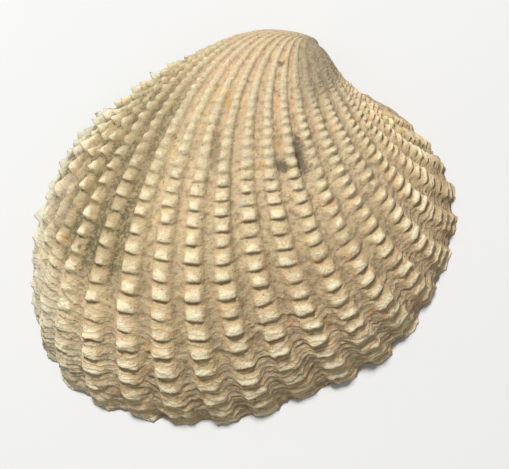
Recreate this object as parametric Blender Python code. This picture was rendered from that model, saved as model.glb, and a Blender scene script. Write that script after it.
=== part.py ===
"""One valve of a strongly ribbed clam shell, lying mouth down on its margin.

The valve is worked out the way a shell grows. Its margin is a closed outline in the plane of
the opening. Younger margins are the same outline made smaller and turned about an axis through
the coiling centre, so together they sweep a spiral that ends in the beak. Ribs and their knobs
are then raised along the surface's normals. The inside is swept in the same planes from a
smaller outline, which leaves a wall that thickens from the margin to the umbo.

Lengths are in millimetres until the mesh is made. Before it is set down, +X points to the front
end of the shell, +Y to the hinge, +Z out of the convex side, and the coiling centre is at 0.
"""
import bpy
import numpy as np

MM = 0.001

# Margin outline, from behind the beak round by the hind end, the lower edge and the front end
MARGIN_POINTS = np.array((
    (-6.0, -2.2), (-12.2, -4.2), (-17.6, -7.8), (-21.0, -12.0), (-22.5, -17.0), (-22.8, -22.2),
    (-21.4, -27.4), (-17.8, -31.3), (-11.6, -33.1), (-5.0, -32.9), (0.9, -30.5), (6.7, -27.6),
    (10.3, -22.5), (12.2, -17.2), (12.1, -12.3), (10.4, -8.9), (7.5, -5.6), (3.3, -3.2), (-1.0, -1.7)))
MARGIN_MIDDLE = np.array((-5.0, -17.0))
OUTLINE_SAMPLES = 2000

# Growth: size falls by these rates for each radian that the margin is turned back
RATE_AT_MARGIN = 0.175
RATE_WHEN_YOUNG = 1.506
RATE_CHANGE_ANGLE = 0.201
TURNING_AXIS = np.array((1.0, 0.097, 0.587))
INFLATION = 1.25
BEAK_SHIFT = np.array((0.5, 0.1, 1.0))
BEAK_ANGLE = -2.7
NORMAL_STEP = 0.01
SIDEWAYS_ANGLE = 0.3

# Ribs, counted from a middle one; their pitch along the margin narrows towards both ends
RIB_MIDDLE_ARC = 48.1
RIB_HALF_COUNT = 13.0
RIB_PITCH = 3.55
RIB_NARROWING = 0.1
FIRST_RIB = -12
LAST_RIB = 13
FRONT_RIBS = (3.5, 7.0)
REAR_RIBS = (1.5, 7.0)
RIB_HEIGHT = 0.6
REAR_RIB_EXTRA = 0.45
FRONT_RIB_LOSS = 0.45
MARGIN_RIB_SHARE = 0.6
MARGIN_RIB_ANGLE = 0.19
SIZE_POWER = 0.7
BEAK_SIZE = 0.2
BASE_SHARE = 0.9
RIB_FADE = 0.8
CREST_HALF_WIDTH = 0.24
CREST_LIMIT = 0.4

# Knobs along the ribs: each one rises slowly from the beak side and drops at its foot
KNOBS_PER_RADIAN = 27.3
KNOB_COUNT = 18
KNOB_TIP = 0.25
KNOB_HEIGHT = 0.45
KNOB_FULL_SIZE = 0.54
REAR_KNOB_EXTRA = 0.6
REAR_KNOB_STRETCH = 1.3
STRETCHED_RIBS = (2.0, 9.0)
REAR_LINE_SLANT = 0.17
SLANTED_RIBS = (0.5, 4.0)
SETTLING_KNOBS = 1.5
MARGIN_CROWDING = 0.6

# Swellings of the surface: height, arc and its spread, angle and its spread
SWELLINGS = ((0.35, 85.0, 12.0, -1.15, 0.45), (-0.5, 18.0, 12.0, -0.55, 0.35),
             (-0.27, 60.0, 30.0, -1.85, 0.5))

# Wall, hinge plate and inside
RIM_WIDTH = 1.8
RIM_NOTCH = 0.22
HINGE_WIDTH = 3.2
HINGE_MIDDLE_ARC = 101.0
HINGE_HALF_LENGTH = 9.0
SOCKET_DEPTH = 0.9
SOCKET_WIDTH = 1.1
SOCKETS = (99.3, 102.6)
CAVITY_ANGLE = -1.15
CAVITY_ROWS = 7
RIM_STEPS = (0.3, 0.6)
HINGE_COLUMNS = 12
BEAK_ROWS = 5
YOUNG_ROWS = 7
YOUNG_ANGLE = -1.6


def remove_old_objects():
    for old in list(bpy.data.objects):
        bpy.data.objects.remove(old)


def closed_curve(points, places):
    """Smooth closed curve through points (Catmull-Rom); a whole place is a point, the rest lie between."""
    whole = np.floor(places).astype(int)
    part = (places - whole)[:, None]
    a, b, c, d = (points[(whole + step) % len(points)] for step in (-1, 0, 1, 2))
    return 0.5 * (2 * b + (c - a) * part + (2 * a - 5 * b + 4 * c - d) * part ** 2
                  + (3 * b - a - 3 * c + d) * part ** 3)


OUTLINE = closed_curve(MARGIN_POINTS, np.linspace(0, len(MARGIN_POINTS), OUTLINE_SAMPLES + 1))
OUTLINE_ARC = np.append(0, np.cumsum(np.linalg.norm(np.diff(OUTLINE, axis=0), axis=1)))
OUTLINE_LENGTH = OUTLINE_ARC[-1]


def margin(arc):
    """Point of the margin at a length of arc along it, measured from its first point."""
    arc = np.mod(arc, OUTLINE_LENGTH)
    return np.stack([np.interp(arc, OUTLINE_ARC, OUTLINE[:, axis]) for axis in (0, 1)], axis=-1)


def size_at(angle):
    """Size of the younger margin at an angle below 0, where the full-grown one has size 1."""
    settling = RATE_CHANGE_ANGLE * (1 - np.exp(angle / RATE_CHANGE_ANGLE))
    return np.exp(RATE_AT_MARGIN * angle + (RATE_WHEN_YOUNG - RATE_AT_MARGIN) * (angle + settling))


def grown(flat, angle):
    """Where points of the margin's plane were at an angle: turned about the axis and made smaller."""
    axis = TURNING_AXIS / np.linalg.norm(TURNING_AXIS)
    point = np.append(flat, np.zeros(flat.shape[:-1] + (1,)), axis=-1)
    sine, cosine, size = (value[..., None] for value in (np.sin(angle), np.cos(angle), size_at(angle)))
    turned = point * cosine + np.cross(axis, point) * sine + axis * (point @ axis)[..., None] * (1 - cosine)
    return turned * size * (1, 1, INFLATION) + BEAK_SHIFT * (1 - size) ** 2


def rib_arc(rib):
    """Arc of a rib's crest. The pitch is RIB_PITCH (1 - 5 RIB_NARROWING x^4), x = rib / RIB_HALF_COUNT."""
    x = rib / RIB_HALF_COUNT
    return RIB_MIDDLE_ARC + RIB_PITCH * RIB_HALF_COUNT * (x - RIB_NARROWING * x ** 5)


def ease(value, low, high):
    """0 below low, 1 above high and smooth between."""
    t = np.clip((value - low) / (high - low), 0, 1)
    return t * t * (3 - 2 * t)


def rear(rib):
    """1 on the ribs behind and 0 on the others; the hinge's columns lead back from 0 to 1."""
    return ease(-rib, *REAR_RIBS) + ease(rib - LAST_RIB - 0.5, 0, 1)


def fading(rib):
    """1 on the ribs, falling to 0 at both ends of their row."""
    return np.clip(np.minimum(rib - FIRST_RIB + 0.5, LAST_RIB + 0.5 - rib) / RIB_FADE, 0, 1)


def across_rib(rib):
    """How far a place lies from its rib's middle, in rib pitches."""
    return rib - np.floor(rib + 0.5)


def crest_of(rib):
    """1 for columns on the flat top of a rib, 0 for those in a groove."""
    return (np.abs(across_rib(rib)) < CREST_LIMIT).astype(float)


def columns():
    """Arc and rib number of each column of the mesh. The hinge's columns count on past the last rib."""
    ribs = np.arange(FIRST_RIB, LAST_RIB + 1)[:, None]
    rib = (ribs + (-0.5, -CREST_HALF_WIDTH, CREST_HALF_WIDTH)).ravel()
    last_groove, first_groove = rib_arc(LAST_RIB + 0.5), rib_arc(FIRST_RIB - 0.5) + OUTLINE_LENGTH
    hinge = np.linspace(0, 1, HINGE_COLUMNS, endpoint=False)
    arc = np.append(rib_arc(rib), last_groove + (first_groove - last_groove) * hinge)
    return arc, np.append(rib, LAST_RIB + 0.5 + hinge)


def outer_surface(arc, angle, raised):
    """The grown margin, moved along its normal by raised, and more and more sideways towards the rim."""
    here = grown(margin(arc), angle)
    along_rib = grown(margin(arc), angle + NORMAL_STEP) - grown(margin(arc), angle - NORMAL_STEP)
    along_edge = grown(margin(arc + NORMAL_STEP), angle) - grown(margin(arc - NORMAL_STEP), angle)
    normal = np.cross(along_rib, along_edge)
    normal[..., 2] *= np.clip(-angle / SIDEWAYS_ANGLE, 0, 1)
    return here + raised[..., None] * normal / np.linalg.norm(normal, axis=-1, keepdims=True)


def relief(rib, angle, tip):
    """Height of the ribs and, where tip is 1, of their knobs too, over the grown surface."""
    size = size_at(angle)
    crest = crest_of(rib)
    place = 1 + REAR_RIB_EXTRA * rear(rib) - FRONT_RIB_LOSS * ease(rib, *FRONT_RIBS)
    near_margin = MARGIN_RIB_SHARE + (1 - MARGIN_RIB_SHARE) * ease(-angle, 0, MARGIN_RIB_ANGLE)
    ribs = RIB_HEIGHT * place * near_margin * size ** SIZE_POWER * np.minimum(1, size / BEAK_SIZE)
    knobs = KNOB_HEIGHT * (1 + REAR_KNOB_EXTRA * rear(rib)) * np.minimum(1, size / KNOB_FULL_SIZE)
    return fading(rib) * (ribs * (crest - BASE_SHARE) + knobs * tip * crest)


def swelling(arc, angle):
    """Height of the broad swellings and hollows of the whole surface."""
    return sum(height * np.exp(-((arc - place) / spread) ** 2 - ((angle - turn) / turn_spread) ** 2)
               for height, place, spread, turn, turn_spread in SWELLINGS)


def outside(arc, rib):
    """Rows from the beak to the margin, with ribs and knobs raised on them."""
    knob = np.arange(KNOB_COUNT)[::-1]
    knob_rows = np.stack((knob + KNOB_TIP, knob), axis=1).ravel()
    beak = np.linspace(BEAK_ANGLE, YOUNG_ANGLE, BEAK_ROWS, endpoint=False) * -KNOBS_PER_RADIAN
    young = np.linspace(-YOUNG_ANGLE * KNOBS_PER_RADIAN, knob_rows[0] + 1, YOUNG_ROWS)
    line = np.concatenate((beak, young, knob_rows))
    line, arc, rib = np.broadcast_arrays(line[:, None], arc, rib)
    along = np.mod(line / (1 + REAR_KNOB_STRETCH * ease(-np.floor(rib + 0.5), *STRETCHED_RIBS)), 1)
    tip = np.where(along < KNOB_TIP, along / KNOB_TIP, (1 - along) / (1 - KNOB_TIP))
    tip = np.where(line > KNOB_COUNT, 0.5, tip)
    slant = REAR_LINE_SLANT * np.sin(2 * np.pi * across_rib(rib)) * ease(-rib, *SLANTED_RIBS) * fading(rib)
    settled = 1 - np.exp(-line / SETTLING_KNOBS)
    angle = -(line + (slant - MARGIN_CROWDING) * settled) / KNOBS_PER_RADIAN
    return outer_surface(arc, angle, relief(rib, angle, tip) + swelling(arc, angle))


def inner_margin(arc, rib):
    """Inner edge of the rim: wider across the hinge plate, and notched where the ribs end."""
    hinge = np.exp(-((arc - HINGE_MIDDLE_ARC) / HINGE_HALF_LENGTH) ** 4)
    behind = np.exp(-((arc + OUTLINE_LENGTH - HINGE_MIDDLE_ARC) / HINGE_HALF_LENGTH) ** 4)
    tangent = margin(arc + NORMAL_STEP) - margin(arc - NORMAL_STEP)
    length = np.linalg.norm(tangent, axis=-1, keepdims=True)
    inward = np.stack((-tangent[:, 1], tangent[:, 0]), axis=-1) / length
    width = RIM_WIDTH + RIM_NOTCH * (0.5 - crest_of(rib)) * fading(rib) + HINGE_WIDTH * (hinge + behind)
    return margin(arc) + inward * width[:, None]


def rim(arc, outer_edge, inner_edge):
    """Flat rows between the two edges of the rim, with sockets sunk into the hinge plate."""
    rows = []
    for step in RIM_STEPS:
        row = outer_edge + (inner_edge - outer_edge) * step
        socket = sum(np.exp(-((arc - place) / SOCKET_WIDTH) ** 4) for place in SOCKETS)
        row[:, 2] = SOCKET_DEPTH * socket
        rows.append(row)
    return rows


def inside(edge):
    """Rows of the hollow, in the same planes as the margins, closing like an ellipse towards the umbo."""
    angles = CAVITY_ANGLE * np.sin(np.linspace(0, np.pi / 2, CAVITY_ROWS, endpoint=False))
    rows = []
    for angle in angles:
        reach = np.sqrt(1 - (angle / CAVITY_ANGLE) ** 2)
        rows.append(grown(MARGIN_MIDDLE + (edge - MARGIN_MIDDLE) * reach, np.array(angle)))
    return rows


def closed_mesh(name, rows, first_pole, last_pole):
    """Mesh of rings joined row by row and closed by a fan to a pole at each end."""
    count = len(rows[0])
    vertices = np.concatenate([*rows, first_pole[None], last_pole[None]])
    ring = np.arange(count)
    following = np.roll(ring, -1)
    faces = [np.full(count, len(vertices) - 2), ring, following]
    triangles = [np.stack(faces, axis=1)]
    for row in range(len(rows) - 1):
        start, end = row * count, (row + 1) * count
        triangles.append(np.stack((start + ring, end + ring, end + following), axis=1))
        triangles.append(np.stack((start + ring, end + following, start + following), axis=1))
    start = (len(rows) - 1) * count
    triangles.append(np.stack((start + ring, np.full(count, len(vertices) - 1), start + following), axis=1))
    mesh = bpy.data.meshes.new(name)
    mesh.from_pydata(vertices.tolist(), [], np.concatenate(triangles).tolist())
    mesh.validate()
    return mesh


def shell_material():
    """Bleached, chalky shell with cream and tan stains."""
    material = bpy.data.materials.new("chalky_shell")
    material.use_nodes = True
    surface = material.node_tree.nodes["Principled BSDF"]
    surface.inputs["Base Color"].default_value = (0.58, 0.50, 0.34, 1.0)
    surface.inputs["Roughness"].default_value = 0.8
    surface.inputs["Metallic"].default_value = 0.0
    return material


def make_valve():
    arc, rib = columns()
    outer_rows = outside(arc, rib)
    edge = inner_margin(arc, rib)
    inner_rows = inside(edge)
    rim_rows = rim(arc, outer_rows[-1], inner_rows[0])
    beak_tip, hollow_top = (grown(MARGIN_MIDDLE, np.array(angle)) for angle in (BEAK_ANGLE, CAVITY_ANGLE))
    rows = [*outer_rows, *rim_rows, *inner_rows]
    points = np.concatenate(rows)
    low, high = points.min(axis=0), points.max(axis=0)
    set_down = np.array(((low[0] + high[0]) / 2, (low[1] + high[1]) / 2, low[2]))
    rows = [(row - set_down) * MM for row in rows]
    mesh = closed_mesh("valve", rows, (beak_tip - set_down) * MM, (hollow_top - set_down) * MM)
    mesh.materials.append(shell_material())
    mesh.shade_smooth()
    valve = bpy.data.objects.new("valve", mesh)
    bpy.context.scene.collection.objects.link(valve)


remove_old_objects()
make_valve()
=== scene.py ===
"""Looks of the ribbed clam shell valve: its fine ribs and knobs, chalky surface, floor and light."""
import bpy
import numpy as np
from mathutils import Matrix, Vector


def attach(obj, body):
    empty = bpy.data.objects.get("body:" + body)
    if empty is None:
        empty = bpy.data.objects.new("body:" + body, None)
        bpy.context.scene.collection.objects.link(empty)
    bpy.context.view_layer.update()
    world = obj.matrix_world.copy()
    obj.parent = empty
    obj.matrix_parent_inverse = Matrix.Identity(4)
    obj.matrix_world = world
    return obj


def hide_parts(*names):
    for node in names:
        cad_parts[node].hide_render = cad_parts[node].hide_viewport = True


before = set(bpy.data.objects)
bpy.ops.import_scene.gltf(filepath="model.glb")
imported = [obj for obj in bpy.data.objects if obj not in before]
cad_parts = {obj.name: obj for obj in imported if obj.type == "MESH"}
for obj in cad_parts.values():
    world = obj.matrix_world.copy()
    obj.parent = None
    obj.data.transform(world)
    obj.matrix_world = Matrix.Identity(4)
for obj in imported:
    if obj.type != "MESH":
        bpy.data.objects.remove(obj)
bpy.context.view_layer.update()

MM = 0.001

# Margin outline in the plane of the opening, in mm from the coiling centre under the beak
MARGIN_POINTS = np.array((
    (-6.0, -2.2), (-12.2, -4.2), (-17.6, -7.8), (-21.0, -12.0), (-22.5, -17.0), (-22.8, -22.2),
    (-21.4, -27.4), (-17.8, -31.3), (-11.6, -33.1), (-5.0, -32.9), (0.9, -30.5), (6.7, -27.6),
    (10.3, -22.5), (12.2, -17.2), (12.1, -12.3), (10.4, -8.9), (7.5, -5.6), (3.3, -3.2), (-1.0, -1.7)))
MARGIN_MIDDLE = np.array((-5.0, -17.0))
OUTLINE_SAMPLES = 4000
COILING_CENTRE = np.array((5.4409, 16.1917, 0.0))

# Growth: size falls by these rates for each radian that the margin is turned back
RATE_AT_MARGIN = 0.175
RATE_WHEN_YOUNG = 1.506
RATE_CHANGE_ANGLE = 0.201
TURNING_AXIS = np.array((1.0, 0.097, 0.587))
INFLATION = 1.25
BEAK_SHIFT = np.array((0.5, 0.1, 1.0))
BEAK_ANGLE = -2.7
NORMAL_STEP = 0.01
ARC_STEP = 0.05
SIDEWAYS_ANGLE = 0.3

# Ribs, counted from a middle one
RIB_MIDDLE_ARC = 48.1
RIB_HALF_COUNT = 13.0
RIB_PITCH = 3.55
RIB_NARROWING = 0.1
FIRST_RIB = -12
LAST_RIB = 13
RIB_HEIGHT = 0.55
REAR_RIB_EXTRA = 0.45
FRONT_RIB_LOSS = 0.45
UMBO_FRONT_LOSS = 0.85
MARGIN_RIB_SHARE = 0.6
RIB_FADE = 0.8
SIZE_POWER = 0.7
BEAK_SIZE = 0.2
BASE_SHARE = 0.9
CREST_EDGE = (0.22, 0.4)
UPPER_CREST_LOSS = (0.05, 0.06)
RIB_PLACES = (-0.5, -0.4, -0.32, -0.24, -0.13, 0.0, 0.13, 0.24, 0.32, 0.4)
HINGE_COLUMNS = 30

# Zones that come in between two growth lines or two ribs, which are counted backwards behind the middle
REAR_RIBS = (1.5, 7.0)
POINTED_RIBS = (0.5, 3.5)
STRETCHED_RIBS = (2.0, 9.0)
SLANTED_RIBS = (0.5, 4.0)
LAMELLATE_RIBS = (1.0, 4.0)
WORN_RIBS = (2.5, 5.0)
FRESH_RIBS = (6.3, 7.7)
FRONT_RIBS = (3.5, 7.0)
UMBO_FRONT_RIBS = (5.0, 8.0)
MARGIN_LINES = (0.0, 5.0)
LOW_LINES = (2.0, 8.0)
BENT_LINES = (3.0, 8.0)
PLAIN_LINES = (3.0, 9.0)
ROUND_LINES = (5.0, 11.0)
POINTED_LINES = (6.0, 11.0)
WORN_LINES = (6.0, 11.0)
UPPER_LINES = (12.0, 19.0)
YOUNG_LINES = (17.0, 27.0)
UMBO_LINES = (19.0, 26.0)
UMBO_WEAR_LINES = (24.0, 34.0)

# Knobs, counted along a rib from the margin towards the beak
KNOBS_PER_RADIAN = 27.3
REAR_KNOB_STRETCH = 1.3
KNOB_HEIGHT = 0.33
REAR_KNOB_EXTRA = 2.1
POINTED_KNOB_EXTRA = 0.9
MARGIN_KNOB_SHARE = 0.9
KNOB_FULL_SIZE = 0.54
BEAD_HALF_WIDTH = 0.22
BEAD_MIDDLE = 0.42
BEAD_HALF_LENGTH = 0.27
KNOB_ASIDE = 0.05
ROUND_KNOB_EXTRA = 0.2
KNOB_STRENGTH = 0.85
KNOB_VARIETY = 0.35
KNOB_STRENGTH_RANGE = (0.5, 1.15)
BROKEN_BELOW = -0.75
BROKEN_KNOB_SHARE = 0.3
MARGIN_WEAR = 0.5
UMBO_WEAR = 0.7
LAMELLAE_PER_KNOB = 2.6
LAMELLA_HEIGHT = 0.12
LINE_BEND = 0.4
REAR_BEND_EXTRA = 3
MARGIN_CROWDING = 0.6
SETTLING_LINES = 1.5
REAR_LINE_SLANT = 0.17
LINE_WANDER = 0.3
OLD_KNOBS = 16
OLD_PLACES = (0.0, 0.05, 0.1, 0.17, 0.26, 0.36, 0.48, 0.6, 0.72, 0.84, 0.94)
GROWN_KNOBS = 12
GROWN_PLACES = (0.0, 0.12, 0.25, 0.42, 0.62, 0.82)
YOUNG_KNOBS = 14
YOUNG_PLACES = (0.0, 0.3, 0.65)
BEAK_ROWS = 12

# Roughness of the surface, more at the margin and behind
ROUGHNESS = 0.075
EDGE_ROUGHNESS = 0.1
REAR_ROUGHNESS = 0.045

# Worn pits: rib, growth line, and half widths along both
PITS = ((5.5, 17.0, 0.3, 2.1), (4.5, 16.3, 0.26, 0.85))
PIT_DEPTH = 0.25

# Swellings of the surface: height, arc and its spread, angle and its spread
SWELLINGS = ((0.35, 85.0, 12.0, -1.15, 0.45), (-0.5, 18.0, 12.0, -0.55, 0.35),
             (-0.27, 60.0, 30.0, -1.85, 0.5))

# Rim, hinge plate and inside
RIM_WIDTH = 1.8
RIM_NOTCH = 0.22
HINGE_WIDTH = 3.2
HINGE_MIDDLE_ARC = 101.0
HINGE_HALF_LENGTH = 9.0
SOCKET_DEPTH = 0.9
SOCKET_WIDTH = 1.1
SOCKETS = (99.3, 102.6)
CAVITY_ANGLE = -1.15
CAVITY_ROWS = 26
RIM_ROWS = 6

# The photograph's view: how far the shell is tipped, and where its coiling centre falls in the picture
PICTURE = (509, 469)
MM_PER_PIXEL = 36.0 / 424
TIPPED_BACK = np.radians(-20.0)
TIPPED_SIDE = np.radians(-5.0)
CENTRE_PIXEL = (313.5, 52.7)
CAMERA_DISTANCE = 0.6
SENSOR = 36.0

# Floor and light, in metres and watts; the lamp's direction is right, up and towards the viewer
FLOOR_HALF = 0.6
WORLD_STRENGTH = 0.27
LAMP_DIRECTION = (-0.3, 0.67, 0.66)
LAMP_DISTANCE = 0.5
LAMP_SIZE = 0.13
LAMP_POWER = 2.9


def closed_curve(points, places):
    """Catmull-Rom curve through points: a + b t + c t^2 + d t^3 between each two, closed on itself."""
    whole = np.floor(places).astype(int)
    part = (places - whole)[:, None]
    a, b, c, d = (points[(whole + step) % len(points)] for step in (-1, 0, 1, 2))
    return 0.5 * (2 * b + (c - a) * part + (2 * a - 5 * b + 4 * c - d) * part ** 2
                  + (3 * b - a - 3 * c + d) * part ** 3)


OUTLINE = closed_curve(MARGIN_POINTS, np.linspace(0, len(MARGIN_POINTS), OUTLINE_SAMPLES + 1))
OUTLINE_ARC = np.append(0, np.cumsum(np.linalg.norm(np.diff(OUTLINE, axis=0), axis=1)))
OUTLINE_LENGTH = OUTLINE_ARC[-1]


def margin(arc):
    """Point of the margin at a length of arc along its outline."""
    arc = np.mod(arc, OUTLINE_LENGTH)
    return np.stack([np.interp(arc, OUTLINE_ARC, OUTLINE[:, axis]) for axis in (0, 1)], axis=-1)


def size_at(angle):
    """exp(k a + (y - k)(a + w (1 - exp(a / w)))): growth's rate goes from y when young to k at the margin."""
    settling = RATE_CHANGE_ANGLE * (1 - np.exp(angle / RATE_CHANGE_ANGLE))
    return np.exp(RATE_AT_MARGIN * angle + (RATE_WHEN_YOUNG - RATE_AT_MARGIN) * (angle + settling))


def grown(flat, angle):
    """size * (point turned by angle about the axis), inflated along z, plus beak shift * (1 - size)^2."""
    axis = TURNING_AXIS / np.linalg.norm(TURNING_AXIS)
    point = np.append(flat, np.zeros(flat.shape[:-1] + (1,)), axis=-1)
    sine, cosine, size = (value[..., None] for value in (np.sin(angle), np.cos(angle), size_at(angle)))
    turned = point * cosine + np.cross(axis, point) * sine + axis * (point @ axis)[..., None] * (1 - cosine)
    return turned * size * (1, 1, INFLATION) + BEAK_SHIFT * (1 - size) ** 2


def rib_arc(rib):
    """Arc of a rib's crest: middle + pitch n (x - narrowing x^5), with x = rib / n."""
    x = rib / RIB_HALF_COUNT
    return RIB_MIDDLE_ARC + RIB_PITCH * RIB_HALF_COUNT * (x - RIB_NARROWING * x ** 5)


def ease(value, low, high):
    """Smooth step: 0 below low, 1 above high, 3 t^2 - 2 t^3 between."""
    t = np.clip((value - low) / (high - low), 0, 1)
    return t * t * (3 - 2 * t)


def noise(x, y, seed):
    """Value noise from -1 to 1: seeded random numbers at whole places, eased between them."""
    lattice = np.random.default_rng(seed).uniform(-1, 1, (64, 64))
    left, below = np.floor(x).astype(int), np.floor(y).astype(int)
    s, t = ease(x - left, 0, 1), ease(y - below, 0, 1)
    corner = [[lattice[(left + i) % 64, (below + j) % 64] for j in (0, 1)] for i in (0, 1)]
    return ((corner[0][0] * (1 - t) + corner[0][1] * t) * (1 - s)
            + (corner[1][0] * (1 - t) + corner[1][1] * t) * s)


def columns():
    """Arc and rib number of each column; the hinge's columns go on counting past the last rib."""
    ribs = np.arange(FIRST_RIB, LAST_RIB + 1)[:, None]
    rib = (ribs + RIB_PLACES).ravel()
    start, end = rib_arc(LAST_RIB + 0.5), rib_arc(FIRST_RIB - 0.5) + OUTLINE_LENGTH
    hinge = np.linspace(0, 1, HINGE_COLUMNS, endpoint=False)
    arc = np.append(rib_arc(rib), start + (end - start) * hinge)
    return arc, np.append(rib, LAST_RIB + 0.5 + hinge)


def growth_lines():
    """Row places counted in knobs from the margin, closest where a knob drops to its foot."""
    groups = ((0, OLD_KNOBS, OLD_PLACES), (OLD_KNOBS, GROWN_KNOBS, GROWN_PLACES),
              (OLD_KNOBS + GROWN_KNOBS, YOUNG_KNOBS, YOUNG_PLACES))
    rows = [(np.arange(first, first + count)[:, None] + places).ravel() for first, count, places in groups]
    last = OLD_KNOBS + GROWN_KNOBS + YOUNG_KNOBS
    rows.append(np.linspace(last, -BEAK_ANGLE * KNOBS_PER_RADIAN, BEAK_ROWS))
    return np.concatenate(rows)


def rear(rib):
    """1 on the ribs behind, 0 on the middle and front ones; the hinge's columns lead from 0 back to 1."""
    return ease(-rib, *REAR_RIBS) + ease(rib - LAST_RIB - 0.5, 0, 1)


def front(whole):
    """1 on the ribs in front, 0 on the middle and rear ones."""
    return ease(whole, *FRONT_RIBS)


def upper_part(line):
    """1 on the upper half of the shell, 0 on the lower."""
    return ease(line, *UPPER_LINES)


def near_margin(line):
    """1 at the margin, 0 well above it."""
    return 1 - ease(line, *LOW_LINES)


def pointed(line, whole):
    """1 where knobs are spikes: behind, and above the margin on the ribs between there and the middle."""
    return np.maximum(ease(-whole, *POINTED_RIBS) * ease(line, *POINTED_LINES), rear(whole))


def rounded(line, whole):
    """1 where knobs are beads: above but not behind, and in front but not at the margin."""
    return np.maximum(upper_part(line) * (1 - rear(whole)), front(whole) * ease(line, *ROUND_LINES))


def fading(rib):
    """1 on the ribs, falling to 0 at the ends of the row of ribs."""
    return np.clip(np.minimum(rib - FIRST_RIB + 0.5, LAST_RIB + 0.5 - rib) / RIB_FADE, 0, 1)


def rib_height(rib, line, size):
    """Height of the ribs over the grooves: most behind, less in front and near the margin."""
    place = 1 + REAR_RIB_EXTRA * rear(rib) - FRONT_RIB_LOSS * front(rib)
    margin_share = MARGIN_RIB_SHARE + (1 - MARGIN_RIB_SHARE) * ease(line, *MARGIN_LINES)
    smooth_umbo = 1 - UMBO_FRONT_LOSS * ease(rib, *UMBO_FRONT_RIBS) * ease(line, *UMBO_LINES)
    return RIB_HEIGHT * fading(rib) * place * margin_share * smooth_umbo * size ** SIZE_POWER * (
        np.minimum(1, size / BEAK_SIZE))


def rib_crest(rib, line):
    """1 on a rib's crest and 0 in the grooves beside it; crests are narrower above."""
    inner, outer = (edge - loss * upper_part(line) for edge, loss in zip(CREST_EDGE, UPPER_CREST_LOSS))
    return 1 - ease(np.abs(rib - np.round(rib)), inner, outer)


def knob_place(line, whole):
    """Knobs counted along a rib: they are spaced wider on the ribs behind."""
    return line / (1 + REAR_KNOB_STRETCH * ease(-whole, *STRETCHED_RIBS))


def knob_cell(line, rib):
    """The knob's number along its rib, the part of it that is passed, and the distance aside from it."""
    whole = np.round(rib)
    place = knob_place(line, whole) + (0.07 + 0.08 * rear(whole)) * noise(rib * 3.1, line * 1.3, 21)
    knob = np.floor(place)
    aside = 0.05 * noise(whole * 5.3, knob * 3.1, 4) + 0.06 * noise(rib * 4.3, line * 2.1, 22)
    return knob, place - knob, np.abs(rib - whole + KNOB_ASIDE * (1 - front(whole)) + aside)


def knob_shape(line, whole, knob, along, side):
    """Share of a knob's height: lip * block, lip * spike * tall, or exp(-(side / w)^2 - (along / l)^2).

    A block keeps its width and sinks away from its lip. A spike narrows and sinks along its whole length.
    """
    behind, prow, near, roundness = rear(whole), pointed(line, whole), near_margin(line), rounded(line, whole)
    wide = 1 + 0.15 * noise(whole * 2.9, knob * 7.7, 14)
    lip = ease(along, 0.0, 0.12 - 0.05 * behind)
    block = (1 - ease(side / wide, 0.14 + 0.08 * near, 0.3 + 0.02 * near)) * (
        1 - ease(along, 0.35 - 0.35 * near, 0.92))
    spike = (1 - ease(side / wide, 0.02, 0.34 - 0.2 * along)) * (1 - along) ** 1.15
    bead = np.exp(-(side / BEAD_HALF_WIDTH) ** 2 - ((along - BEAD_MIDDLE) / BEAD_HALF_LENGTH) ** 2)
    extra = REAR_KNOB_EXTRA * behind + POINTED_KNOB_EXTRA * prow * (1 - behind)
    tall = 1 + extra * (1 - ease(line, *YOUNG_LINES))
    return lip * (block * (1 - prow) + spike * prow * tall) * (1 - roundness) + bead * roundness


def knob_strength(whole, knob):
    """Each knob's own strength, held in a range: mean + variety * noise, and a few knobs broken."""
    strength = KNOB_STRENGTH + KNOB_VARIETY * noise(whole * 7.31, knob * 5.17, 3)
    strength = np.clip(strength, *KNOB_STRENGTH_RANGE)
    return np.where(noise(whole * 3.77, knob * 9.13, 8) < BROKEN_BELOW, BROKEN_KNOB_SHARE, strength)


def margin_wear(line, rib):
    """1, less where knobs are worn down: behind the middle near the margin, short of the last ribs."""
    return 1 - MARGIN_WEAR * ease(-rib, *WORN_RIBS) * (1 - ease(line, *WORN_LINES)) * (
        1 - ease(-rib, *FRESH_RIBS))


def umbo_wear(line, rib):
    """1, falling over the upper growth lines to leave faint knobs on the umbo, sooner in front."""
    return 1 - UMBO_WEAR * ease(line + rib, *UMBO_WEAR_LINES)


def knob_foot_shadow(line, whole, along, side, strength):
    """Mask of the painted shadow at the drop at both ends of a knob: exp(-(along / below)^2) + exp(-((1 -
    along) / over)^2).
    """
    prow = pointed(line, whole)
    below, over = 0.07 + 0.03 * prow, 0.07 + 0.09 * prow
    foot = np.exp(-(along / below) ** 2) + np.exp(-((1 - along) / over) ** 2)
    return foot * (1 - ease(side, *CREST_EDGE)) * (strength * (1 - 0.7 * upper_part(line)) + 0.4 * prow)


def lamella_phase(line, rib):
    """Growth lamellae counted unevenly from the margin: each whole number is the lip of one."""
    uneven = 1.5 * noise(rib * 0.8 + 20, line * 0.7, 6) + 0.5 * noise(rib * 2.6, line * 1.2, 9)
    return LAMELLAE_PER_KNOB * line + uneven


def lamella_height(line, rib):
    """A saw's tooth, 1 - part of its phase, for each growth lamella: most near the margin and behind."""
    phase = lamella_phase(line, rib)
    broken = 0.35 + 0.65 * ease(noise(rib * 2.3, line * 0.9, 17), -0.5, 0.4)
    crowded = 0.12 + 0.88 * (1 - ease(line, *PLAIN_LINES)) * (1 - 0.4 * front(np.round(rib))) + (
        0.5 * ease(-rib, *LAMELLATE_RIBS) * (1 - upper_part(line)))
    return LAMELLA_HEIGHT * crowded * broken * (1 - (phase - np.floor(phase)))


def pit_depth(line, rib):
    """Depth * sum of exp(-(ribs aside / half)^2 - (lines away / reach)^2) over the pits."""
    return PIT_DEPTH * sum(np.exp(-((rib - middle) / half) ** 2 - ((line - at) / reach) ** 2)
                           for middle, at, half, reach in PITS)


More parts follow.
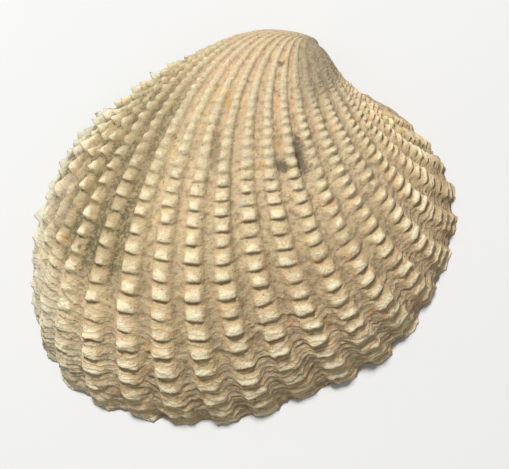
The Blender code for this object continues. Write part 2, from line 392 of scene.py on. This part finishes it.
def relief(line, rib, size):
    """Height, ribs * (crest - base share) + knobs + lamellae - pits, with crest, knob and the foot mask for
    painted shadow.
    """
    whole = np.round(rib)
    knob, along, side = knob_cell(line, rib)
    strength = knob_strength(whole, knob)
    shape = knob_shape(line, whole, knob, along, side) * strength
    shape = shape * margin_wear(line, rib) * fading(rib) * umbo_wear(line, rib)
    margin_loss = (1 - MARGIN_KNOB_SHARE) * near_margin(line) * (1 - rear(whole))
    knobs = shape * KNOB_HEIGHT * (1 + ROUND_KNOB_EXTRA * rounded(line, whole) - margin_loss)
    young = np.minimum(1, size / KNOB_FULL_SIZE)
    crest = rib_crest(rib, line)
    ribs = rib_height(rib, line, size) * (crest - BASE_SHARE)
    height = ribs + (knobs + lamella_height(line, rib)) * young - pit_depth(line, rib)
    return height, crest, shape, knob_foot_shadow(line, whole, along, side, strength)


def outer_surface(arc, angle, raised):
    """The grown margin moved along its normal by raised, more and more sideways towards the rim."""
    here = grown(margin(arc), angle)
    along_rib = grown(margin(arc), angle + NORMAL_STEP) - grown(margin(arc), angle - NORMAL_STEP)
    along_edge = grown(margin(arc + ARC_STEP), angle) - grown(margin(arc - ARC_STEP), angle)
    normal = np.cross(along_rib, along_edge)
    normal[..., 2] *= np.clip(-angle / SIDEWAYS_ANGLE, 0, 1)
    return here + raised[..., None] * normal / np.linalg.norm(normal, axis=-1, keepdims=True)


def outside(arc, rib):
    """Rows from the beak to the margin, and each point's crest, knob, foot of a knob for painted shadow, and
    growth line.
    """
    line = growth_lines()[::-1]
    line, rib = np.broadcast_arrays(line[:, None], rib)
    across = rib - np.round(rib)
    fade = fading(rib)
    settled = 1 - np.exp(-line / SETTLING_LINES)
    slant = REAR_LINE_SLANT * np.sin(2 * np.pi * across) * ease(-rib, *SLANTED_RIBS)
    bend = LINE_BEND * (1 + REAR_BEND_EXTRA * rear(rib) * ease(line, *BENT_LINES)) * across ** 2
    wander = LINE_WANDER * noise(np.round(rib) * 2.3, line * 0.15, 2)
    offset = fade * (wander + bend + slant)
    angle = -(line + (offset - MARGIN_CROWDING) * settled) / KNOBS_PER_RADIAN
    size = size_at(angle)
    ribbed, crest, knob, foot = relief(line, rib, size)
    ragged = ROUGHNESS + EDGE_ROUGHNESS * np.exp(-line / SETTLING_LINES) + REAR_ROUGHNESS * rear(rib)
    uneven = noise(arc * 2.7, line * 2.9, 11) + 0.8 * noise(arc * 1.1, line * 0.9, 12) + 0.5 * noise(
        arc * 5.1, line * 6.3, 13)
    rough = ragged * (uneven - 1.2) * np.minimum(1, size / KNOB_FULL_SIZE)
    swell = sum(height * np.exp(-((arc - place) / spread) ** 2 - ((angle - turn) / turn_spread) ** 2)
                for height, place, spread, turn, turn_spread in SWELLINGS)
    arc = np.broadcast_to(arc, line.shape)
    return outer_surface(arc, angle, ribbed + rough + swell), crest, knob, foot, line


def inner_margin(arc, rib):
    """Inner edge of the rim: margin + inward (width + notches cos(2 pi rib) + hinge width * plateau)."""
    plateau = sum(np.exp(-((arc - middle) / HINGE_HALF_LENGTH) ** 4)
                  for middle in (HINGE_MIDDLE_ARC, HINGE_MIDDLE_ARC - OUTLINE_LENGTH))
    tangent = margin(arc + ARC_STEP) - margin(arc - ARC_STEP)
    inward = np.stack((-tangent[:, 1], tangent[:, 0]), axis=-1)
    inward /= np.linalg.norm(tangent, axis=-1, keepdims=True)
    width = RIM_WIDTH - 0.5 * RIM_NOTCH * np.cos(2 * np.pi * rib) * fading(rib) + HINGE_WIDTH * plateau
    return margin(arc) + inward * width[:, None]


def rim(arc, outer_edge, inner_edge):
    """Flat rows between the rim's edges, with sockets in the hinge plate: depth * exp(-(d / width)^4)."""
    socket = sum(np.exp(-((arc - place) / SOCKET_WIDTH) ** 4) for place in SOCKETS)
    rows = []
    for step in np.arange(1, RIM_ROWS) / RIM_ROWS:
        row = outer_edge + (inner_edge - outer_edge) * step
        row[:, 2] = SOCKET_DEPTH * socket * np.sin(np.pi * step) ** 0.5
        rows.append(row)
    return rows


def inside(edge):
    """Rows of the hollow: the inner edge swept back in growth and closed in by sqrt(1 - (a / a0)^2)."""
    rows = []
    for angle in CAVITY_ANGLE * np.sin(np.linspace(0, np.pi / 2, CAVITY_ROWS, endpoint=False)):
        reach = np.sqrt(1 - (angle / CAVITY_ANGLE) ** 2)
        rows.append(grown(MARGIN_MIDDLE + (edge - MARGIN_MIDDLE) * reach, np.array(angle)))
    return rows


def closed_mesh(name, rows, poles, values):
    """Mesh of rings joined row by row and closed by a fan to a pole at each end, with its point values."""
    count = rows.shape[1]
    vertices = np.concatenate([rows.reshape(-1, 3), poles])
    ring = np.arange(count)
    following = np.roll(ring, -1)
    start = np.arange(len(rows) - 1)[:, None] * count
    after = start + count
    quads = np.stack((start + ring, after + ring, after + following, start + following), axis=-1)
    first, last = len(vertices) - 2, len(vertices) - 1
    end = (len(rows) - 1) * count
    fans = np.concatenate((np.stack((np.full(count, first), ring, following), axis=-1),
                           np.stack((end + ring, np.full(count, last), end + following), axis=-1)))
    mesh = bpy.data.meshes.new(name)
    mesh.from_pydata(vertices.tolist(), [], quads.reshape(-1, 4).tolist() + fans.tolist())
    for key, value in values.items():
        column = np.concatenate([value.ravel(), [value[0].mean(), value[-1].mean()]])
        mesh.attributes.new(key, "FLOAT", "POINT").data.foreach_set("value", column.astype(np.float32))
    mesh.shade_smooth()
    return mesh


def make_valve():
    """The whole valve as one closed surface, from the beak over the ribs and rim to the hollow's top."""
    arc, rib = columns()
    outer, crest, knob, foot, line = outside(arc, rib)
    edge = inner_margin(arc, rib)
    hollow = np.array(inside(edge))
    band = np.array(rim(arc, outer[-1], hollow[0]))
    rows = np.concatenate((outer, band, hollow))
    poles = np.stack([grown(MARGIN_MIDDLE, np.array(angle)) for angle in (BEAK_ANGLE, CAVITY_ANGLE)])
    within = len(band) + len(hollow)
    plain = np.zeros((within, len(arc)))
    values = {
        "crest": np.concatenate((crest, plain)),
        "knob": np.concatenate((knob, plain)),
        "foot": np.concatenate((foot, plain)),
        "line": np.concatenate((line, plain)),
        "rib": np.broadcast_to(rib, rows.shape[:2]).copy(),
        "lamella": np.concatenate((lamella_phase(line, np.broadcast_to(rib, line.shape)), plain)),
        "within": np.concatenate((np.zeros(crest.shape), plain + 1)),
    }
    mesh = closed_mesh("ribbed_valve", (rows + COILING_CENTRE) * MM, (poles + COILING_CENTRE) * MM, values)
    valve = bpy.data.objects.new("ribbed_valve", mesh)
    bpy.context.scene.collection.objects.link(valve)
    return valve


class Wire:
    """A shader output that Python's operators work on; each operation adds a Math node."""

    def __init__(self, shader, socket):
        self.shader, self.socket = shader, socket

    def math(self, operation, *values, clamp=False):
        settings = {"operation": operation, "use_clamp": clamp}
        return self.shader.node("ShaderNodeMath", settings, dict(enumerate(values)))

    def __add__(self, other):
        return self.math("ADD", self, other)

    def __radd__(self, other):
        return self.math("ADD", other, self)

    def __sub__(self, other):
        return self.math("SUBTRACT", self, other)

    def __rsub__(self, other):
        return self.math("SUBTRACT", other, self)

    def __mul__(self, other):
        return self.math("MULTIPLY", self, other)

    def __rmul__(self, other):
        return self.math("MULTIPLY", other, self)

    def __pow__(self, other):
        return self.math("POWER", self, other)

    def held(self):
        """The value kept between 0 and 1."""
        return self.math("ADD", self, 0.0, clamp=True)

    def eased(self, low, high):
        """0 below low, 1 above high and smooth between."""
        settings = {"interpolation_type": "SMOOTHSTEP"}
        return self.shader.node("ShaderNodeMapRange", settings, {0: self, 1: low, 2: high})


class Shader:
    """A material's node tree with one method that adds any node."""

    def __init__(self, name):
        self.material = bpy.data.materials.new(name)
        self.material.use_nodes = True
        self.tree = self.material.node_tree
        self.surface = self.tree.nodes["Principled BSDF"]

    def node(self, kind, settings, sockets, output=0):
        """Adds a node: its settings first, then the values or links of its sockets."""
        made = self.tree.nodes.new(kind)
        for key, value in settings.items():
            setattr(made, key, value)
        for key, value in sockets.items():
            self.feed(made.inputs[key], value)
        return Wire(self, made.outputs[output])

    def feed(self, socket, value):
        if isinstance(value, Wire):
            self.tree.links.new(value.socket, socket)
        else:
            socket.default_value = value

    def noise(self, place, scale, detail=4.0, roughness=0.6):
        return self.node("ShaderNodeTexNoise", {}, {"Vector": place, "Scale": scale, "Detail": detail,
                                                    "Roughness": roughness})

    def mix(self, factor, first, second, blend="MIX"):
        """A colour between first and second."""
        return self.node("ShaderNodeMix", {"data_type": "RGBA", "blend_type": blend},
                         {0: factor, 6: first, 7: second}, 2)

    def value(self, name):
        """One of the mesh's point values."""
        return self.node("ShaderNodeAttribute", {"attribute_name": name}, {}, 2)


GROOVE_TAN = (0.54, 0.42, 0.27, 1.0)
CREAM = (0.66, 0.53, 0.33, 1.0)
KNOB_WHITE = (0.90, 0.79, 0.56, 1.0)
# Brown of painted shadow under knob and lamella lips and in the grooves near the margin, and of dirt spots in
# the grooves
SHADOW_AND_DIRT_BROWN = (0.24, 0.17, 0.08, 1.0)
# Olive of dirt, and of painted shade in the rear crevices and on the rear edge
OLIVE_DIRT_AND_SHADE = (0.15, 0.125, 0.06, 1.0)
PINK_TAN = (0.66, 0.45, 0.30, 1.0)
RUST = (0.58, 0.28, 0.08, 1.0)
SPECK = (0.13, 0.085, 0.045, 1.0)
GREY_CHALK = (0.70, 0.67, 0.54, 1.0)
# Browns of the umbo's front, partly painted shade
UMBO_BROWN_AND_SHADE = (0.24, 0.18, 0.10, 1.0)
UMBO_GREY_AND_SHADE = (0.40, 0.34, 0.22, 1.0)
EDGE_BROWN = (0.33, 0.23, 0.13, 1.0)
PIT_BROWN = (0.15, 0.12, 0.07, 1.0)
OCHRE = (0.45, 0.29, 0.09, 1.0)
GREY_FILM = (0.76, 0.75, 0.69, 1.0)
UMBO_CREAM = (0.63, 0.56, 0.40, 1.0)
PINK_BROWN = (0.46, 0.32, 0.20, 1.0)
PINK_CREAM = (0.80, 0.65, 0.47, 1.0)
YELLOW_CREAM = (0.76, 0.59, 0.31, 1.0)
GREEN_GREY = (0.50, 0.50, 0.38, 1.0)
SLOPE_OCHRE = (0.66, 0.46, 0.24, 1.0)
PALE_GREY = (0.60, 0.57, 0.45, 1.0)
EARTH = (0.42, 0.28, 0.12, 1.0)
PINK_TINT = (1.0, 0.92, 0.89, 1.0)
GREEN_TINT = (0.94, 1.0, 0.90, 1.0)
INSIDE_CREAM = (0.74, 0.66, 0.50, 1.0)
FLOOR_GREY = (0.66, 0.66, 0.65, 1.0)
FLOOR_PALE = (0.72, 0.72, 0.71, 1.0)

# Stains at a rib and growth line, with half widths along both, colour and strength
STAINS = (
    ((5.5, 17.0), (0.46, 2.7), PIT_BROWN, 0.95), ((4.5, 16.3), (0.42, 1.1), PIT_BROWN, 0.95),
    ((4.5, 18.6), (0.3, 1.6), OCHRE, 0.5), ((1.5, 18.0), (0.28, 2.5), OLIVE_DIRT_AND_SHADE, 0.6),
    ((1.5, 22.8), (0.4, 1.3), OCHRE, 0.9), ((4.5, 22.9), (0.22, 1.6), RUST, 0.4),
    ((-3.8, 8.0), (0.28, 0.4), RUST, 0.5), ((-2.9, 9.0), (0.12, 0.22), SPECK, 0.85),
    ((-5.4, 8.5), (1.3, 2.0), PINK_CREAM, 0.4), ((4.6, 30.3), (0.45, 0.9), SPECK, 0.85),
    ((0.5, 4.6), (0.12, 0.18), SPECK, 0.7), ((7.8, 10.7), (0.15, 0.3), SPECK, 0.6),
    ((4.8, 9.0), (0.25, 0.35), RUST, 0.4), ((-0.4, 5.4), (0.25, 0.3), RUST, 0.4),
    ((2.8, 13.2), (0.3, 0.7), GREEN_GREY, 0.45))
VALUES = ("crest", "knob", "foot", "line", "rib", "within", "lamella")
BUMP_STRENGTH = 0.9
BUMP_HEIGHT = 0.00018
CHALK_ROUGHNESS = 0.85
HOLLOW_SHEEN = 0.25


class Coat:
    """The shell's colour, painted layer by layer over the mesh's point values."""

    def __init__(self, shader):
        self.shader, self.colour = shader, GROOVE_TAN
        self.place = shader.node("ShaderNodeTexCoord", {}, {}, 3)
        self.crest, self.knob, self.foot, self.line, self.rib, self.within, self.lamella = (
            shader.value(name) for name in VALUES)
        self.backwards = self.rib * -1.0
        self.broad, self.blotch = shader.noise(self.place, 90.0, 2.0), shader.noise(self.place, 420.0)
        self.mottle = shader.noise(self.place, 1300.0, 3.0)
        self.grain = shader.noise(self.place, 3800.0, 3.0, 0.7)
        across = self.rib * 1.7 + (self.blotch - 0.5) * 2.0
        along_lines = shader.node("ShaderNodeCombineXYZ", {}, {0: across, 1: self.line * 6.0})
        streak = shader.noise(along_lines, 1.0, 2.0)
        self.patchy = ((self.blotch - 0.5) * 0.9 + (self.mottle - 0.5) * 0.9 + (self.grain - 0.5) * 1.0
                       + (streak - 0.5) * 0.6)
        self.edge = shader.node("ShaderNodeMath", {"operation": "FRACT"}, {0: self.lamella})
        crowded = (1.0 - self.line.eased(3.0, 9.0)) * (1.0 - self.rib.eased(3.5, 7.0) * 0.4)
        crowded = crowded + self.backwards.eased(1.0, 4.0) * 0.5 * (1.0 - self.line.eased(7.0, 11.0))
        lower = 1.0 - self.line.eased(12.0, 19.0)
        self.crowded = (crowded * lower * (self.mottle + self.blotch).eased(0.75, 1.15)).held()

    def paint(self, share, colour, blend="MIX"):
        """Mixes a colour over what is there."""
        self.colour = self.shader.mix(share, self.colour, colour, blend)

    def ribs_and_knobs(self):
        """Tan grooves, cream crests, ochre slopes between the knobs, and white knobs."""
        crest, knob, line, patchy = self.crest, self.knob, self.line, self.patchy
        self.paint((crest * 0.4 + patchy).eased(-0.15, 0.75), CREAM)
        self.paint((self.mottle + (self.broad - 0.5)).eased(0.5, 0.66) * 0.5, PINK_TAN)
        slope = crest * (0.95 - knob).held() * (1.1 - line.eased(4.0, 14.0))
        slope = slope * (self.rib + 4.0).eased(0.0, 3.0)
        self.paint((slope * (patchy + 0.7) * 1.1).held(), SLOPE_OCHRE)
        lips = knob * (1.35 - line.eased(5.0, 12.0) * 0.35)
        self.paint((lips + patchy * 0.8).eased(0.3, 1.05), KNOB_WHITE)

    def grooves_and_umbo(self):
        """Pink brown grooves and cream crests above, painted shade in brown in the grooves below, and
        yellowed patches.
        """
        crest, line, patchy = self.crest, self.line, self.patchy
        upper_groove = line.eased(14.0, 20.0) * (1.0 - crest) * (patchy + 0.7).held()
        self.paint(upper_groove * 0.5, PINK_BROWN)
        upper = line.eased(12.0, 18.0) * (crest + patchy * 1.1 - 0.25).eased(0.0, 0.8)
        self.paint(upper * 0.55, UMBO_CREAM)
        # Painted shade: patchy brown in the grooves near the margin.
        lower_groove_shade = (1.0 - line.eased(6.0, 12.0)) * (1.0 - crest) * (patchy + 0.6).held()
        self.paint(lower_groove_shade * (self.rib + 4.0).eased(0.0, 3.0) * 0.5, SHADOW_AND_DIRT_BROWN)
        yellow = (self.shader.noise(self.place, 800.0, 3.0) + (self.grain - 0.5) * 0.4).eased(0.5, 0.64)
        self.paint(yellow * 0.35, YELLOW_CREAM)

    def lamella_edges(self):
        """White lips of the growth lamellae, and painted shadow in brown at their feet, below each lip."""
        self.paint((1.0 - self.edge).eased(0.55, 0.9) * self.crowded * 0.6, KNOB_WHITE)
        # Painted shadow: brown below each lamella's lip.
        self.paint(self.edge.eased(0.62, 0.95) * self.crowded * 0.65, SHADOW_AND_DIRT_BROWN)

    def chalk_and_tints(self):
        """Grey chalk, most near the margin and behind, and faint pink and green tints in small patches."""
        chalk = self.line * -0.05 + self.rib * -0.14 + (self.broad - 0.5) * 2.0 + self.patchy
        self.paint(chalk.eased(-0.1, 0.9) * (0.6 + self.knob * 0.3).held(), GREY_CHALK)
        greener = self.shader.noise(self.place, 2300.0, 2.0).eased(0.38, 0.62)
        self.paint(0.9, self.shader.mix(greener, PINK_TINT, GREEN_TINT), "MULTIPLY")

    def shadows(self):
        """Brown spots in the grooves, and painted shadow in brown at the foot of each knob, under its lip."""
        spots = self.shader.noise(self.place, 1900.0, 3.0).eased(0.5, 0.66)
        spots = spots * (1.15 - self.crest * 0.9 - self.knob * 0.5).held()
        self.paint(spots * 0.65, SHADOW_AND_DIRT_BROWN)
        # Painted shadow: brown at the foot of each knob, below its lip.
        shadow = (self.foot * (self.patchy + 0.7)).held() * (1.0 - self.line.eased(5.0, 12.0) * 0.2)
        self.paint(shadow, SHADOW_AND_DIRT_BROWN)

    def rear(self):
        """Behind: olive grooves, a pale grey margin, olive patches of dirt and painted shade on the rear
        edge, and earthy spots.
        """
        line, knob, backwards, patchy = self.line, self.knob, self.backwards, self.patchy
        groove = backwards.eased(1.0, 4.0) * line.eased(8.0, 13.0) * (1.0 - self.crest)
        self.paint(groove * (patchy + 0.6).held() * 0.75, OLIVE_DIRT_AND_SHADE)
        chalk = backwards.eased(1.5, 4.5) * (1.0 - line.eased(3.0, 8.0))
        self.paint(chalk * (patchy * 0.7 + 0.4).held(), PALE_GREY)
        # Olive patches on the last rear ribs: partly dirt, partly painted shade.
        edge = backwards.eased(4.8, 6.8) * line.eased(3.0, 6.0)
        edge = edge * (self.blotch * 0.9 + self.mottle * 0.8 + self.grain * 0.7 - knob * 0.3).eased(1.0, 1.4)
        self.paint(edge * 0.6, OLIVE_DIRT_AND_SHADE)
        earthy = self.shader.noise(self.place, 1500.0, 3.0).eased(0.5, 0.6) * (1.0 - knob * 0.5).held()
        earthy = earthy * backwards.eased(1.5, 4.5) * line.eased(5.0, 10.0)
        self.paint(earthy * 0.5, EARTH)

    def rust(self):
        """Rusty patches, a little more at the feet of knobs."""
        rust = self.shader.noise(self.place, 700.0, 3.0, 0.5) + (self.grain - 0.5) * 0.35 + self.foot * 0.05
        self.paint(rust.eased(0.61, 0.79) * 0.55, RUST)

    def dirt_and_crevice_shade(self):
        """A grey film and grains of olive dirt on the upper ribs behind the middle, densest in the crevices,
        where the olive is also painted shade.
        """
        zone = self.backwards.eased(0.4, 1.8) * (self.line - self.rib * 0.6).eased(8.0, 11.0)
        zone = zone * (1.0 - self.line.eased(18.0, 27.0) * 0.9)
        self.paint((zone * (1.2 - self.knob * 0.6)).held(), GREY_FILM, "MULTIPLY")
        # Olive gathered in the crevices and at the feet of knobs: partly dirt, partly painted shade.
        hollow = 1.25 - self.crest * 0.6 - self.knob * 0.4 + self.foot * 0.5 + (self.broad - 0.5) * 4.0
        dusty = (self.blotch * 0.6 + self.mottle * 0.8 + self.grain * 1.8 - self.crest * 0.12).eased(1.4, 1.7)
        self.paint(zone * hollow.eased(0.2, 1.0) * dusty, OLIVE_DIRT_AND_SHADE)

    def front(self):
        """The smooth brown front of the umbo, darker partly as painted shade of this steep side, and brown
        patches at the front of the margin.
        """
        # Umbo's front: brown colour, partly painted shade of its side turned from the lamp.
        umbo_front_shade = self.rib.eased(5.0, 7.5) * self.line.eased(20.0, 25.0) * (1.2 - self.knob).held()
        smooth_brown_and_shade = self.shader.mix(self.patchy.eased(-0.4, 0.5), UMBO_BROWN_AND_SHADE, UMBO_GREY_AND_SHADE)
        self.paint(umbo_front_shade * 0.85, smooth_brown_and_shade)
        edge = self.rib.eased(8.0, 10.0) * (1.0 - self.line.eased(2.0, 7.0))
        edge = edge * (self.broad + self.blotch - 0.5).eased(0.35, 0.65)
        self.paint(edge * 0.6, EDGE_BROWN)

    def stains(self):
        """The larger stains, each an ellipse on ribs and growth lines with a patchy edge."""
        for at, half, stain, strength in STAINS:
            sideways, lengthways = (self.rib - at[0]) * (1 / half[0]), (self.line - at[1]) * (1 / half[1])
            far = (sideways ** 2.0 + lengthways ** 2.0) ** 0.5
            self.paint((1.0 - far + self.patchy * 1.5).eased(0.0, 0.8) * strength, stain)

    def specks_and_grain(self):
        """Small dark specks, and fine grain over everything."""
        specks = self.shader.noise(self.place, 3600.0, 1.0, 0.5).eased(0.66, 0.73)
        specks = specks * self.mottle.eased(0.42, 0.6)
        self.paint(specks * (0.8 - self.knob * 0.4).held(), SPECK)
        shade = 0.62 + self.grain * 0.4 + self.shader.noise(self.place, 8000.0, 1.0) * 0.4
        self.paint(1.0, shade, "MULTIPLY")

    def hollow(self):
        """Plain cream on the rim and inside."""
        self.paint(self.within, self.shader.mix(self.blotch * 0.5, INSIDE_CREAM, CREAM))

    def bumps(self):
        """Height of the fine relief: mottling, grain and lamella edges."""
        lines = (1.0 - self.edge) * self.crowded * (1.0 - self.within)
        return self.mottle * 0.8 + self.grain * 0.75 + lines * 0.6


def chalky_shell():
    """Bleached shell: pale knobs, mottled tan grooves, olive dirt that is partly painted shade, painted
    shadows under knobs and lamellae and in the lower grooves, rusty stains, specks and growth lines.
    """
    shader = Shader("chalky_shell")
    coat = Coat(shader)
    for layer in (coat.ribs_and_knobs, coat.grooves_and_umbo, coat.lamella_edges, coat.chalk_and_tints,
                  coat.shadows, coat.rear, coat.rust, coat.dirt_and_crevice_shade, coat.front, coat.stains,
                  coat.specks_and_grain, coat.hollow):
        layer()
    normal = shader.node("ShaderNodeBump", {}, {"Strength": BUMP_STRENGTH, "Distance": BUMP_HEIGHT,
                                                "Height": coat.bumps()})
    shader.feed(shader.surface.inputs["Base Color"], coat.colour)
    shader.feed(shader.surface.inputs["Roughness"], CHALK_ROUGHNESS - coat.within * HOLLOW_SHEEN)
    shader.feed(shader.surface.inputs["Normal"], normal)
    return shader.material


def floor_material():
    shader = Shader("pale_floor")
    place = shader.node("ShaderNodeTexCoord", {}, {}, 3)
    cloud = shader.noise(place, 8.0, 2.0)
    shader.feed(shader.surface.inputs["Base Color"], shader.mix(cloud, FLOOR_GREY, FLOOR_PALE))
    shader.feed(shader.surface.inputs["Roughness"], 0.9)
    return shader.material


def make_floor():
    """A flat square under the shell."""
    half = FLOOR_HALF
    mesh = bpy.data.meshes.new("floor")
    corners = [(-half, -half, 0), (half, -half, 0), (half, half, 0), (-half, half, 0)]
    mesh.from_pydata(corners, [], [(0, 1, 2, 3)])
    mesh.materials.append(floor_material())
    floor = bpy.data.objects.new("floor", mesh)
    bpy.context.scene.collection.objects.link(floor)


def view_axes():
    """Rows are the picture's right, up and towards-the-viewer directions in the frame."""
    back, side = TIPPED_BACK, TIPPED_SIDE
    tip_back = np.array(((1, 0, 0), (0, np.cos(back), -np.sin(back)), (0, np.sin(back), np.cos(back))))
    tip_side = np.array(((np.cos(side), 0, np.sin(side)), (0, 1, 0), (-np.sin(side), 0, np.cos(side))))
    return tip_side @ tip_back


def make_camera():
    """A long lens along the photograph's line of sight, with the shell as large as in the picture."""
    right, up, towards = view_axes()
    offset = (np.array(CENTRE_PIXEL) - np.array(PICTURE) / 2) * MM_PER_PIXEL * MM
    target = COILING_CENTRE * MM - right * offset[0] + up * offset[1]
    lens = bpy.data.cameras.new("camera")
    lens.sensor_width = SENSOR
    lens.lens = SENSOR * CAMERA_DISTANCE / (PICTURE[0] * MM_PER_PIXEL * MM)
    lens.clip_end = 10
    camera = bpy.data.objects.new("camera", lens)
    place = target + towards * CAMERA_DISTANCE
    turn_and_place = np.column_stack((right, up, towards, place))
    camera.matrix_world = Matrix(np.vstack((turn_and_place, (0, 0, 0, 1))).tolist())
    bpy.context.scene.collection.objects.link(camera)
    bpy.context.scene.camera = camera


def make_light(name, direction, distance, size, power):
    """A square lamp that shines on the shell from a direction of the picture."""
    axes = view_axes()
    where = Vector((np.array(direction) @ axes).tolist()).normalized()
    data = bpy.data.lights.new(name, "AREA")
    data.size = size
    data.energy = power
    lamp = bpy.data.objects.new(name, data)
    lamp.location = where * distance
    lamp.rotation_euler = where.to_track_quat("Z", "Y").to_euler()
    bpy.context.scene.collection.objects.link(lamp)


def make_world(strength):
    world = bpy.data.worlds.new("studio")
    world.use_nodes = True
    background = world.node_tree.nodes["Background"]
    background.inputs["Color"].default_value = (1.0, 1.0, 1.0, 1.0)
    background.inputs["Strength"].default_value = strength
    bpy.context.scene.world = world


make_camera()
make_world(WORLD_STRENGTH)
make_light("top_light", LAMP_DIRECTION, LAMP_DISTANCE, LAMP_SIZE, LAMP_POWER)
bpy.context.scene.view_settings.view_transform = "Standard"
make_floor()
valve = make_valve()
valve.data.materials.append(chalky_shell())
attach(valve, "root")
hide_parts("valve")
